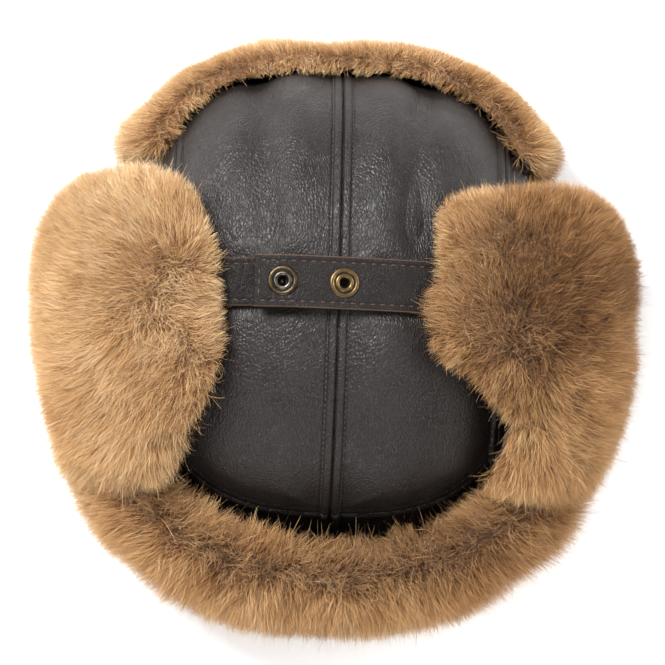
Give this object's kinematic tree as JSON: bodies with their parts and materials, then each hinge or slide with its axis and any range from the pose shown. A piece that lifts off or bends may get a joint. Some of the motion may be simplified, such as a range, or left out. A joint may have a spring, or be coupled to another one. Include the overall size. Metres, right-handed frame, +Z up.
{
  "type": "trapper hat",
  "caption": "Shearling trapper hat with leather outside and wool inside, its ear flaps strapped up over the crown, and its neck flap and visor turned up.",
  "frame": {"origin": "middle of the overall box seen from above, on the flat underside of the rim", "axes": "+Z up, +Y to the front (the visor), +X to the wearer's right"},
  "size_m": [0.308, 0.307, 0.1595],
  "materials": {
    "leather": "semi-gloss nappa",
    "strap_leather": "satin",
    "wool": "dense sheared wool pile",
    "thread": "twisted thread",
    "snap_brass": "antique",
    "snap_steel": "gunmetal"
  },
  "bodies": {
    "crown": {"crown_left_top_panel": "leather", "crown_right_top_panel": "leather", "crown_left_side_panel": "leather", "crown_right_side_panel": "leather", "crown_left_back_band": "leather", "crown_right_back_band": "leather", "crown_left_top_lining": "wool", "crown_right_top_lining": "wool", "crown_left_side_lining": "wool", "crown_right_side_lining": "wool", "crown_left_back_lining": "wool", "crown_right_back_lining": "wool", "rim_fold": "wool", "centre_seam_stitching": "thread", "left_seam_stitching": "thread", "right_seam_stitching": "thread", "back_seam_stitching": "thread"},
    "right_ear_flap": {"right_ear_flap_leather": "leather", "right_ear_flap_wool": "wool"},
    "right_ear_lobe": {"right_ear_lobe_leather": "leather", "right_ear_lobe_wool": "wool", "right_strap_tab": "strap_leather"},
    "right_strap": {"right_strap": "strap_leather", "right_strap_backing": "strap_leather", "right_strap_stitching": "thread", "right_strap_snap_caps": "snap_brass", "right_strap_snap_sockets": "snap_steel"},
    "left_ear_flap": {"left_ear_flap_leather": "leather", "left_ear_flap_wool": "wool"},
    "left_ear_lobe": {"left_ear_lobe_leather": "leather", "left_ear_lobe_wool": "wool", "left_strap_tab": "strap_leather", "left_strap": "strap_leather", "left_strap_backing": "strap_leather", "left_strap_stitching": "thread", "left_strap_snap_post": "snap_steel", "left_strap_snap_stud": "snap_steel"},
    "neck_flap": {"neck_flap_leather": "leather", "neck_flap_wool": "wool"},
    "visor": {"visor_leather": "leather", "visor_wool": "wool"}
  },
  "joints": [
    {"name": "right_ear_hinge", "type": "hinge", "parent": "crown", "child": "right_ear_flap", "pos_m": [0.11, 0.0145, 0.002], "axis": [0, 1, 0], "range_deg": [0, 170]},
    {"name": "right_lobe_bend", "type": "hinge", "parent": "right_ear_flap", "child": "right_ear_lobe", "pos_m": [0.1412, 0.0145, 0.1042], "axis": [0, 1, 0], "range_deg": [0, 62]},
    {"name": "right_strap_lift", "type": "hinge", "parent": "right_ear_lobe", "child": "right_strap", "pos_m": [0.0458, 0.0145, 0.139], "axis": [0, 1, 0], "range_deg": [0, 60]},
    {"name": "left_ear_hinge", "type": "hinge", "parent": "crown", "child": "left_ear_flap", "pos_m": [-0.11, 0.0145, 0.002], "axis": [0, -1, 0], "range_deg": [0, 170]},
    {"name": "left_lobe_bend", "type": "hinge", "parent": "left_ear_flap", "child": "left_ear_lobe", "pos_m": [-0.1412, 0.0145, 0.1042], "axis": [0, -1, 0], "range_deg": [0, 62]},
    {"name": "neck_flap_hinge", "type": "hinge", "parent": "crown", "child": "neck_flap", "pos_m": [0, -0.111, 0.002], "axis": [1, 0, 0], "range_deg": [0, 170]},
    {"name": "visor_hinge", "type": "hinge", "parent": "crown", "child": "visor", "pos_m": [0, 0.1385, 0.002], "axis": [-1, 0, 0], "range_deg": [0, 90]}
  ],
  "couplings": [
    {"joint": "left_ear_hinge", "follows": "right_ear_hinge", "ratio": 1},
    {"joint": "neck_flap_hinge", "follows": "right_ear_hinge", "ratio": 1},
    {"joint": "right_lobe_bend", "follows": "right_ear_hinge", "ratio": 0.36},
    {"joint": "left_lobe_bend", "follows": "right_ear_hinge", "ratio": 0.36}
  ]
}
